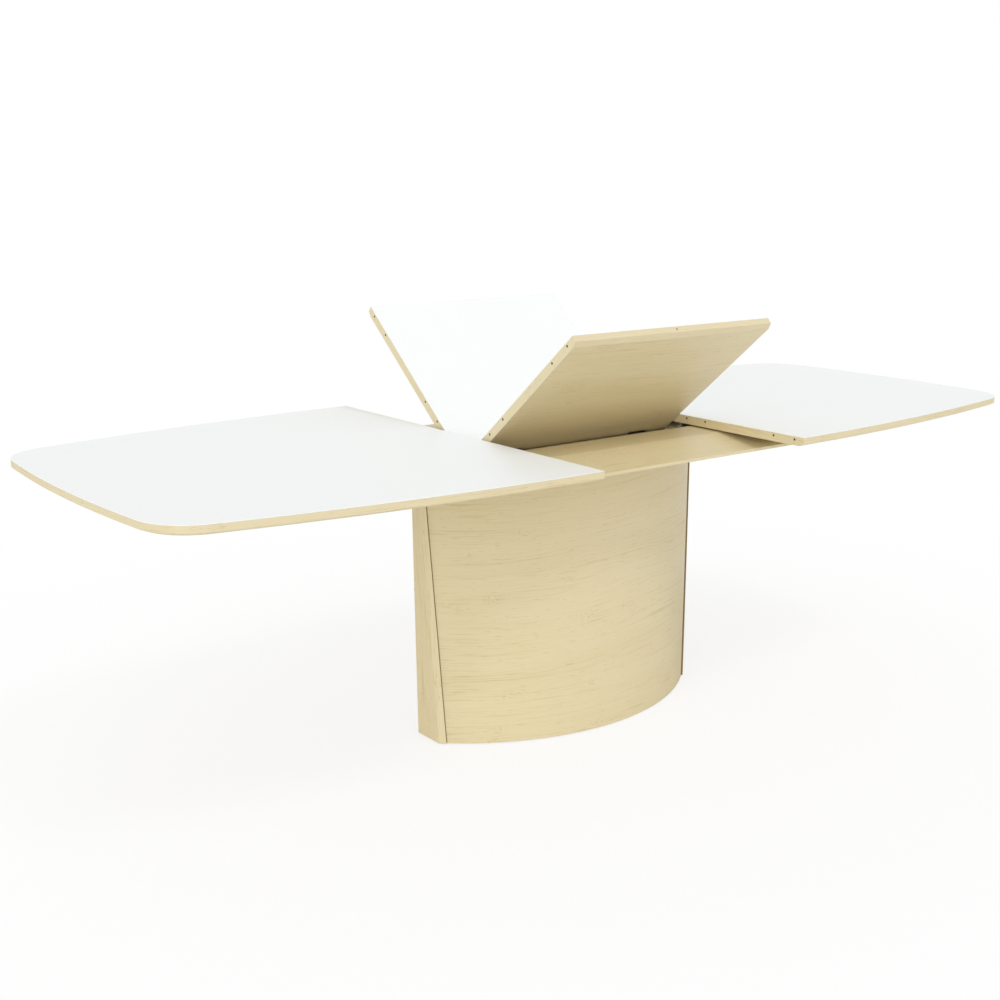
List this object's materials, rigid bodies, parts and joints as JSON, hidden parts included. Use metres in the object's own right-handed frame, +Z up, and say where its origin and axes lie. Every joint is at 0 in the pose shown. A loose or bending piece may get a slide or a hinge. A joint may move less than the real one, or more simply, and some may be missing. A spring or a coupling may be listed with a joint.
{
  "type": "butterfly leaf table",
  "caption": "Extending dining table with boat-shaped sliding tops, a leaf that folds into a V between them and a hollow lens-shaped pedestal.",
  "frame": {"origin": "on the floor under the middle of the pedestal", "axes": "+X along the table to the right as seen from the front, +Y to the back, +Z up"},
  "size_m": [2.5278, 1.03, 1.0086],
  "materials": {
    "white_laminate": "smooth",
    "oak_veneer": "satin",
    "plain_wood": "satin",
    "nylon": "smooth",
    "rubber": "matte",
    "aluminium": "satin",
    "steel": "satin"
  },
  "bodies": {
    "base": {"front_shell": "oak_veneer", "back_shell": "oak_veneer", "left_end_panel": "oak_veneer", "right_end_panel": "oak_veneer", "floor_plate": "plain_wood", "front_cleat": "plain_wood", "back_cleat": "plain_wood", "floor_glides": "nylon", "deck": "oak_veneer", "front_deck_rail": "oak_veneer", "back_deck_rail": "oak_veneer", "left_front_guide": "steel", "left_back_guide": "steel", "right_front_guide": "steel", "right_back_guide": "steel", "guide_screws": "steel", "deck_screws": "steel", "rail_screws": "steel", "slide_strips": "nylon", "left_post": "steel", "right_post": "steel", "post_flanges": "steel", "post_buffers": "rubber"},
    "left_top": {"left_top_board": "oak_veneer", "left_top_laminate": "white_laminate", "left_front_runner": "aluminium", "left_back_runner": "aluminium", "left_runner_screws": "steel", "left_top_dowels": "plain_wood"},
    "right_top": {"right_top_board": "oak_veneer", "right_top_laminate": "white_laminate", "right_front_runner": "aluminium", "right_back_runner": "aluminium", "right_runner_screws": "steel"},
    "riser": {"riser_beam": "aluminium", "left_riser_bush": "nylon", "right_riser_bush": "nylon", "left_hinge_head": "steel", "right_hinge_head": "steel", "hinge_pins": "steel"},
    "front_leaf": {"front_leaf_board": "oak_veneer", "front_leaf_laminate": "white_laminate", "front_leaf_dowels": "plain_wood", "front_hinge_plates": "steel", "front_hinge_screws": "steel"},
    "back_leaf": {"back_leaf_board": "oak_veneer", "back_leaf_laminate": "white_laminate", "back_leaf_dowels": "plain_wood", "back_hinge_plates": "steel", "back_hinge_screws": "steel"}
  },
  "joints": [
    {"name": "left_top_slide", "type": "slide", "parent": "base", "child": "left_top", "axis": [1, 0, 0], "range_m": [-0.0117, 0.0077]},
    {"name": "right_top_slide", "type": "slide", "parent": "base", "child": "right_top", "axis": [-1, 0, 0], "range_m": [-0.0117, 0.0077]},
    {"name": "front_leaf_fold", "type": "hinge", "parent": "riser", "child": "front_leaf", "pos_m": [0, -0.016, 0.6848], "axis": [-1, 0, 0], "range_deg": [-40, 42]},
    {"name": "back_leaf_fold", "type": "hinge", "parent": "riser", "child": "back_leaf", "pos_m": [0, 0.016, 0.6848], "axis": [1, 0, 0], "range_deg": [-40, 42]},
    {"name": "riser_lift", "type": "slide", "parent": "base", "child": "riser", "axis": [0, 0, 1], "range_m": [-0.054, 0.0514]}
  ],
  "couplings": [
    {"joint": "back_leaf_fold", "follows": "front_leaf_fold", "ratio": 1},
    {"joint": "riser_lift", "follows": "front_leaf_fold", "m_per_rad": -0.073339}
  ]
}
